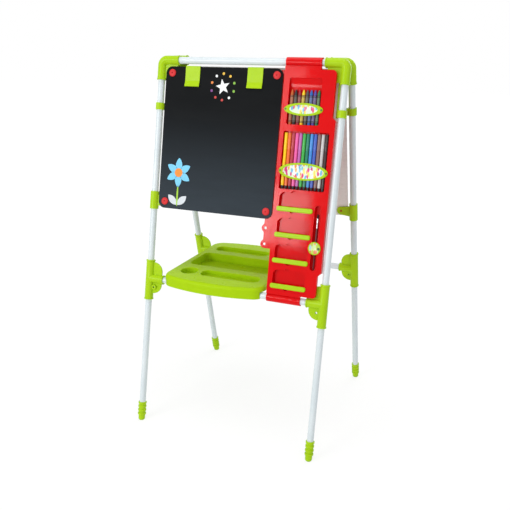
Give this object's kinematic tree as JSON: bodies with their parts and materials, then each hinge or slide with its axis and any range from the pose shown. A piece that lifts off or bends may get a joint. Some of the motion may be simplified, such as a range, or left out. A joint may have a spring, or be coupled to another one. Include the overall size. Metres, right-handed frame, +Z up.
{
  "type": "children's easel",
  "caption": "Folding double-sided children's easel: leaning white tube frames, blackboard with paper clips and a red colour caddy, whiteboard behind, and a lift-off green tray.",
  "frame": {"origin": "on the floor, midway between the feet", "axes": "+Z up, blackboard faces -Y, +X to the right of a child facing the blackboard"},
  "size_m": [0.5464, 0.5032, 1.0158],
  "materials": {
    "white_tube": "white powder coat",
    "green_plastic": "moulded, glossy",
    "red_plastic": "moulded, glossy",
    "blackboard_paint": "hardboard with matt chalkboard paint",
    "whiteboard_enamel": "white gloss enamel on steel sheet",
    "hardboard": "pale grey board",
    "clear_plastic": "translucent washer",
    "dark_plastic": "moulded",
    "pin_steel": "plain",
    "crayon_wax": "wax in paper sleeves",
    "pen_plastic": "coloured barrels",
    "brush_wood": "lacquered handle"
  },
  "bodies": {
    "front_frame": {"band_pins": "dark_plastic", "blackboard": "blackboard_paint", "blackboard_rivets": "red_plastic", "caddy": "red_plastic", "crayon_band": "green_plastic", "crayons": "crayon_wax", "felt_pens": "pen_plastic", "front_crossbar": "white_tube", "front_left_board_clip": "green_plastic", "front_left_elbow": "green_plastic", "front_left_foot": "green_plastic", "front_left_hinge_leaf": "green_plastic", "front_left_lower_leg": "white_tube", "front_left_tee": "green_plastic", "front_left_upper_leg": "white_tube", "front_right_elbow": "green_plastic", "front_right_foot": "green_plastic", "front_right_hinge_leaf": "green_plastic", "front_right_lower_leg": "white_tube", "front_right_tee": "green_plastic", "front_right_upper_leg": "white_tube", "front_top_tube": "white_tube", "keeper_pin": "dark_plastic", "left_hinge_pin": "pin_steel", "paint_brush": "brush_wood", "pen_band": "green_plastic", "pocket_lip_1": "green_plastic", "pocket_lip_2": "green_plastic", "pocket_lip_3": "green_plastic", "pocket_lip_4": "green_plastic", "right_hinge_pin": "pin_steel"},
    "rear_frame": {"rear_crossbar": "white_tube", "rear_left_board_clip": "green_plastic", "rear_left_elbow": "green_plastic", "rear_left_foot": "green_plastic", "rear_left_hinge_leaf": "green_plastic", "rear_left_lower_leg": "white_tube", "rear_left_tee": "green_plastic", "rear_left_upper_leg": "white_tube", "rear_right_board_clip": "green_plastic", "rear_right_elbow": "green_plastic", "rear_right_foot": "green_plastic", "rear_right_hinge_leaf": "green_plastic", "rear_right_lower_leg": "white_tube", "rear_right_tee": "green_plastic", "rear_right_upper_leg": "white_tube", "rear_top_tube": "white_tube", "whiteboard_backing": "hardboard", "whiteboard_rivets": "red_plastic", "whiteboard_sheet": "whiteboard_enamel", "whiteboard_washers": "clear_plastic"},
    "keeper_badge": {"keeper_badge": "green_plastic"},
    "paper_clip_left": {"paper_clip_left": "green_plastic"},
    "paper_clip_right": {"paper_clip_right": "green_plastic"},
    "tray": {"tray": "green_plastic"}
  },
  "joints": [
    {"name": "fold", "type": "hinge", "parent": "front_frame", "child": "rear_frame", "pos_m": [0, 0, 0.97759], "axis": [-1, 0, 0], "range_deg": [0, 25]},
    {"name": "tray_lift", "type": "slide", "parent": "front_frame", "child": "tray", "axis": [0, 0, 1], "range_m": [0, 0.085]},
    {"name": "paper_clip_left_slide", "type": "slide", "parent": "front_frame", "child": "paper_clip_left", "axis": [1, 0, 0], "range_m": [-0.027, 0.06]},
    {"name": "paper_clip_right_slide", "type": "slide", "parent": "front_frame", "child": "paper_clip_right", "axis": [1, 0, 0], "range_m": [-0.06, 0.024]},
    {"name": "keeper_swivel", "type": "hinge", "parent": "front_frame", "child": "keeper_badge", "pos_m": [0.2364, -0.1343, 0.55551], "axis": [0, -0.9763, 0.2164], "range_deg": [-90, 90]}
  ]
}
